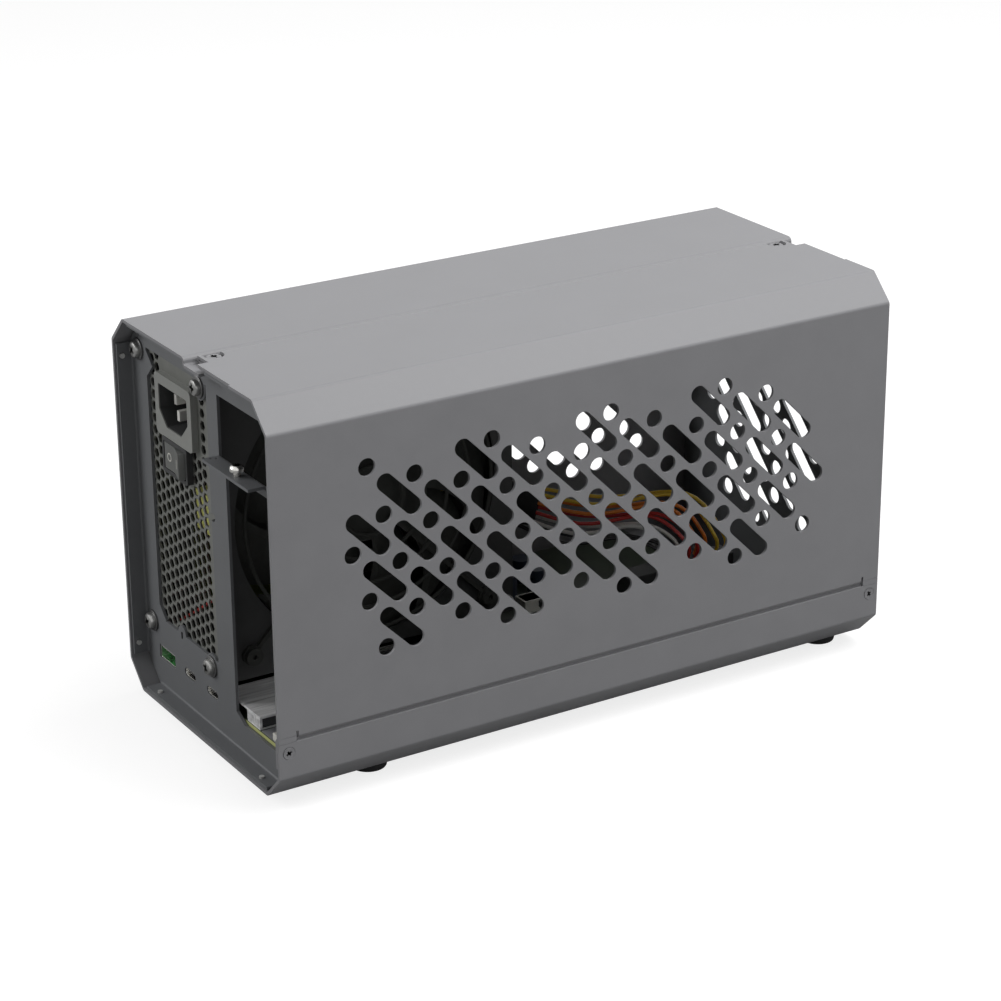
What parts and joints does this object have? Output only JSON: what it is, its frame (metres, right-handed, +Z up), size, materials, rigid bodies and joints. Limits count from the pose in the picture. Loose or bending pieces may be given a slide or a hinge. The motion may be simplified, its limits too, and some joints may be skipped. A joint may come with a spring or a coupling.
{
  "type": "external graphics card frame",
  "caption": "Desktop box of folded sheet with slanted vents, for one graphics card: built-in power supply, docking board, sockets and switch at the rear.",
  "frame": {"origin": "centre of the footprint on the surface under the feet", "axes": "+X towards the vented front end, away from the sockets; +Y towards the power supply's side; +Z up"},
  "size_m": [0.275, 0.1274, 0.1595],
  "materials": {
    "case_paint": "fine textured powder coat",
    "panel_paint": "fine textured powder coat",
    "supply_paint": "satin black",
    "mesh_steel": "satin",
    "zinc": "zinc plated",
    "dark_zinc": "black zinc",
    "nickel": "nickel plated",
    "brass_nickel": "turned",
    "foot_rubber": "matt",
    "black_plastic": "matt",
    "grey_plastic": "matt",
    "dark_plastic": "matt",
    "heat_sink_aluminium": "milled",
    "supply_board": "solder mask",
    "dock_mask": "solder mask",
    "yellow_tape": "tape",
    "ferrite": "matt",
    "can": "sleeved",
    "white_plastic": "matt",
    "green_plastic": "satin",
    "wire_yellow": "satin",
    "wire_orange": "satin",
    "wire_red": "satin",
    "wire_white": "satin",
    "wire_black": "satin"
  },
  "bodies": {
    "case": {"outer_shell": "case_paint", "side_cover": "case_paint", "rear_panel": "panel_paint", "front_panel": "panel_paint", "panel_screws": "zinc", "strip_screws": "case_paint", "seam_screws": "dark_zinc", "shelf_screw": "nickel", "rubber_feet": "foot_rubber", "foot_screws": "zinc", "psu_case": "supply_paint", "psu_cover": "supply_paint", "psu_rear_plate": "mesh_steel", "psu_front_plate": "supply_paint", "psu_screws": "dark_zinc", "cover_screws": "zinc", "inlet_housing": "grey_plastic", "inlet_pins": "nickel", "switch_bezel": "black_plastic", "fan_frame": "black_plastic", "fan_guard": "nickel", "fan_screws": "dark_zinc", "psu_board": "supply_board", "psu_standoffs": "brass_nickel", "transformer": "yellow_tape", "transformer_core": "ferrite", "psu_heat_sinks": "heat_sink_aluminium", "capacitors": "can", "cable_grommet": "black_plastic", "dock_board": "dock_mask", "standoffs": "brass_nickel", "board_screws": "zinc", "card_slot": "black_plastic", "usb_a_shell": "nickel", "usb_a_tongue": "green_plastic", "usb_c_shells": "nickel", "usb_c_tongues": "black_plastic", "heat_sink": "heat_sink_aluminium", "chip": "black_plastic", "heat_spreader": "heat_sink_aluminium", "power_socket": "white_plastic", "power_plug": "black_plastic", "board_capacitors": "can", "small_socket": "white_plastic", "lead_yellow": "wire_yellow", "lead_orange": "wire_orange", "lead_red": "wire_red", "lead_white": "wire_white", "lead_black": "wire_black"},
    "rocker": {"rocker": "dark_plastic"},
    "fan_rotor": {"fan_rotor": "black_plastic"},
    "slot_latch": {"slot_latch": "black_plastic"}
  },
  "joints": [
    {"name": "rocker_tilt", "type": "hinge", "parent": "case", "child": "rocker", "pos_m": [-0.1287, 0.0251, 0.1101], "axis": [0, 0, 1], "range_deg": [0, 16]},
    {"name": "fan_spin", "type": "hinge", "parent": "case", "child": "fan_rotor", "pos_m": [-0.0641, -0.00125, 0.0892], "axis": [0, 1, 0], "continuous": true},
    {"name": "latch_tilt", "type": "hinge", "parent": "case", "child": "slot_latch", "pos_m": [0.0065, -0.019, 0.0245], "axis": [0, 1, 0], "range_deg": [0, 25]}
  ]
}
